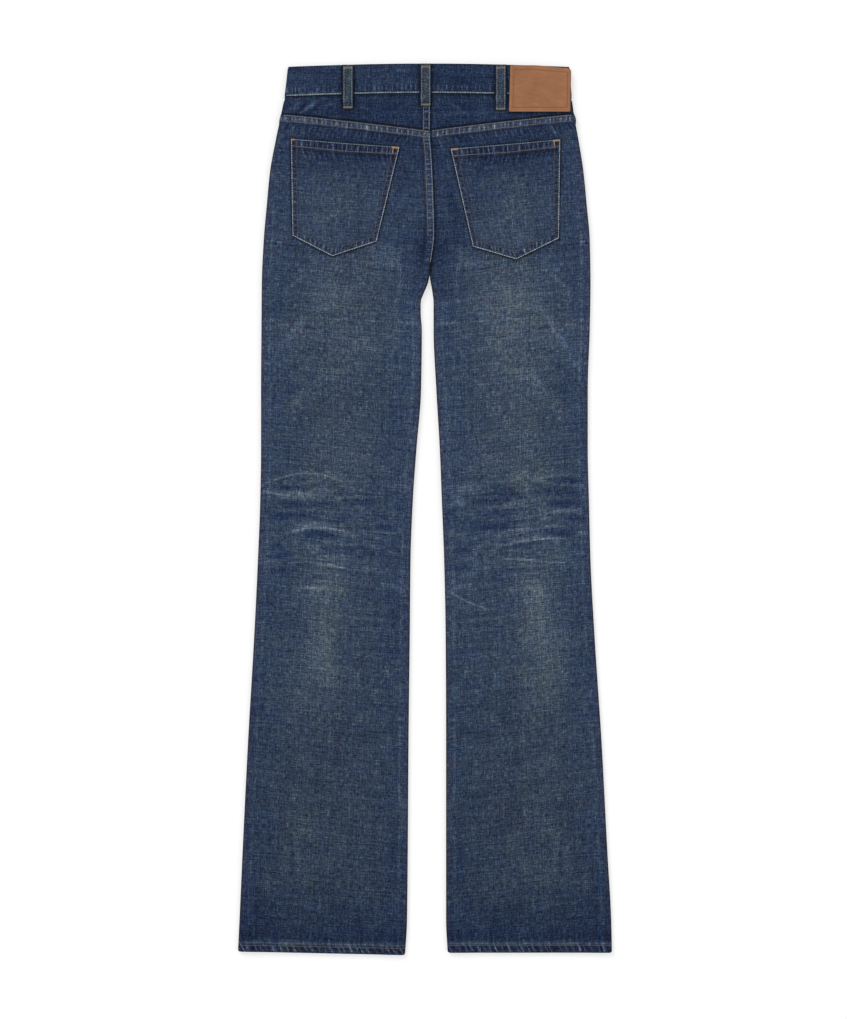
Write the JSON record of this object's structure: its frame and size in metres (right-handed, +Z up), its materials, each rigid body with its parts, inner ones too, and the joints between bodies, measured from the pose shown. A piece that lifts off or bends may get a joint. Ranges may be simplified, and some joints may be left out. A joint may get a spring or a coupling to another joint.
{
  "type": "flared jeans",
  "caption": "Long flared denim jeans laid flat on their front, with yoke, patch pockets, belt loops and a bare leather patch on the back.",
  "frame": {"origin": "middle of the garment's outline, on the surface that it lies on", "axes": "+X towards the wearer's right side, +Y towards the waistband, +Z up out of the back of the garment"},
  "size_m": [0.479, 1.1404, 0.0116],
  "materials": {
    "leg_denim": "washed blue twill with grey-green fades on the thighs, pockets and below the knees",
    "band_denim": "darker blue twill with little wear",
    "leather": "tan leather with a soft grain, bare",
    "button_metal": "aged metal, domed and plain"
  },
  "bodies": {
    "root": {"back_left": "leg_denim", "back_right": "leg_denim", "yoke_left": "band_denim", "yoke_right": "band_denim", "front_left": "leg_denim", "front_right": "leg_denim", "front_pocket_facing_left": "leg_denim", "front_pocket_facing_right": "leg_denim", "back_pocket_left": "leg_denim", "back_pocket_right": "leg_denim", "waistband": "band_denim", "belt_loop_back_left": "band_denim", "belt_loop_back_centre": "band_denim", "belt_loop_back_right": "band_denim", "belt_loop_front_left": "band_denim", "belt_loop_front_right": "band_denim", "leather_patch": "leather", "waist_button": "button_metal"}
  },
  "joints": []
}
